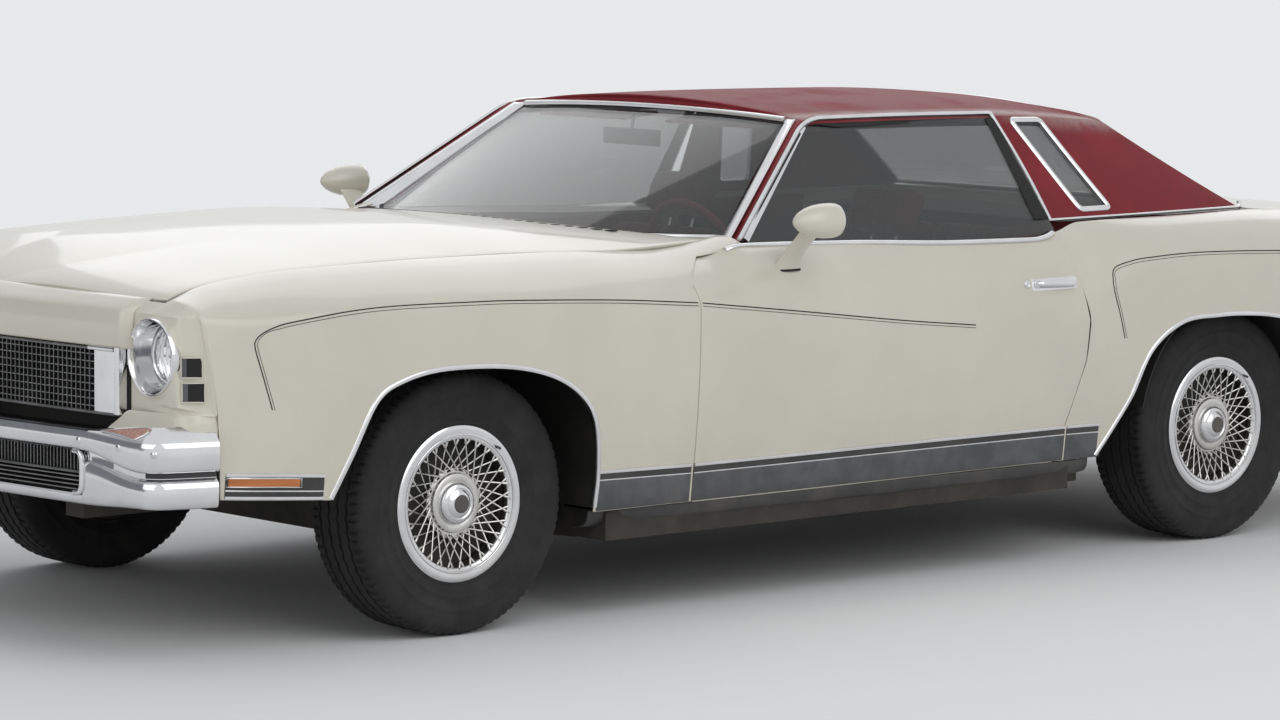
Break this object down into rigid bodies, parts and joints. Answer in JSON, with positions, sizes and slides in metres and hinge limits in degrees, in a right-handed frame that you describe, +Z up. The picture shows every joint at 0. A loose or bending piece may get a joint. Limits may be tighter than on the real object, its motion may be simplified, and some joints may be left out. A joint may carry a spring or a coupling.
{
  "type": "two-door hardtop coupe with vinyl roof",
  "caption": "Long-hood two-door coupe of the 1970s with vinyl roof, opera windows and wire wheel covers; doors, hood, trunk, steering and wheels move.",
  "frame": {"origin": "on the ground below the middle of the car", "axes": "+X forward, +Y to the driver's left, +Z up"},
  "size_m": [5.344, 2.168, 1.3438],
  "materials": {
    "body_paint": "gloss ivory paint",
    "vinyl": "grained burgundy vinyl",
    "chrome": "polished",
    "window_glass": "clear",
    "lamp_glass": "fluted",
    "amber_lens": "amber",
    "red_lens": "red",
    "chassis_black": "matt",
    "floor_black": "matt",
    "radiator_black": "matt",
    "engine_iron": "cast",
    "exhaust_steel": "weathered",
    "tank_steel": "weathered",
    "dash_plastic": "burgundy",
    "wheel_plastic": "burgundy",
    "seat_cloth": "woven",
    "tyre_rubber": "worn",
    "wheel_chrome": "polished"
  },
  "bodies": {
    "root": {"frame": "chassis_black", "floor_pan": "floor_black", "inner_fenders": "chassis_black", "radiator": "radiator_black", "engine": "engine_iron", "driveline": "engine_iron", "rear_axle": "chassis_black", "front_arms": "chassis_black", "exhaust": "exhaust_steel", "fuel_tank": "tank_steel", "roof": "vinyl", "cowl": "body_paint", "header_panel": "body_paint", "fender_left": "body_paint", "fender_right": "body_paint", "quarter_left": "body_paint", "quarter_right": "body_paint", "tail_panels": "body_paint", "front_bumper": "chrome", "rear_bumper": "chrome", "grille": "chrome", "headlamps": "lamp_glass", "marker_lamps": "amber_lens", "tail_lamps": "red_lens", "windshield": "window_glass", "rear_windows": "window_glass", "dashboard": "dash_plastic", "steering_wheel": "wheel_plastic", "front_seats": "seat_cloth", "rear_seat": "seat_cloth"},
    "hood": {"hood": "body_paint"},
    "trunk_lid": {"trunk_lid": "body_paint"},
    "door_left": {"door_left": "body_paint", "door_glass_left": "window_glass", "mirror_left": "body_paint"},
    "door_right": {"door_right": "body_paint", "door_glass_right": "window_glass", "mirror_right": "body_paint"},
    "knuckle_left": {"knuckle_left": "engine_iron"},
    "knuckle_right": {"knuckle_right": "engine_iron"},
    "wheel_body_front_left": {"tyre_front_left": "tyre_rubber", "wheel_front_left": "wheel_chrome"},
    "wheel_body_front_right": {"tyre_front_right": "tyre_rubber", "wheel_front_right": "wheel_chrome"},
    "wheel_body_rear_left": {"tyre_rear_left": "tyre_rubber", "wheel_rear_left": "wheel_chrome"},
    "wheel_body_rear_right": {"tyre_rear_right": "tyre_rubber", "wheel_rear_right": "wheel_chrome"}
  },
  "joints": [
    {"name": "door_left_hinge", "type": "hinge", "parent": "root", "child": "door_left", "pos_m": [0.785, 0.925, 0.6], "axis": [0, 0, -1], "range_deg": [0, 62]},
    {"name": "door_right_hinge", "type": "hinge", "parent": "root", "child": "door_right", "pos_m": [0.785, -0.925, 0.6], "axis": [0, 0, 1], "range_deg": [0, 62]},
    {"name": "hood_hinge", "type": "hinge", "parent": "root", "child": "hood", "pos_m": [0.64, 0, 1], "axis": [0, -1, 0], "range_deg": [0, 50]},
    {"name": "trunk_hinge", "type": "hinge", "parent": "root", "child": "trunk_lid", "pos_m": [-1.612, 0, 0.986], "axis": [0, 1, 0], "range_deg": [0, 60]},
    {"name": "steer_left", "type": "hinge", "parent": "root", "child": "knuckle_left", "pos_m": [1.596, 0.6905, 0.346], "axis": [0, 0, 1], "range_deg": [-30, 30]},
    {"name": "steer_right", "type": "hinge", "parent": "root", "child": "knuckle_right", "pos_m": [1.596, -0.6905, 0.346], "axis": [0, 0, 1], "range_deg": [-30, 30]},
    {"name": "spin_front_left", "type": "hinge", "parent": "knuckle_left", "child": "wheel_body_front_left", "pos_m": [1.596, 0.7785, 0.346], "axis": [0, 1, 0], "continuous": true},
    {"name": "spin_front_right", "type": "hinge", "parent": "knuckle_right", "child": "wheel_body_front_right", "pos_m": [1.596, -0.7785, 0.346], "axis": [0, 1, 0], "continuous": true},
    {"name": "spin_rear_left", "type": "hinge", "parent": "root", "child": "wheel_body_rear_left", "pos_m": [-1.35, 0.771, 0.346], "axis": [0, 1, 0], "continuous": true},
    {"name": "spin_rear_right", "type": "hinge", "parent": "root", "child": "wheel_body_rear_right", "pos_m": [-1.35, -0.771, 0.346], "axis": [0, 1, 0], "continuous": true}
  ],
  "couplings": [
    {"joint": "steer_right", "follows": "steer_left", "ratio": 1}
  ]
}
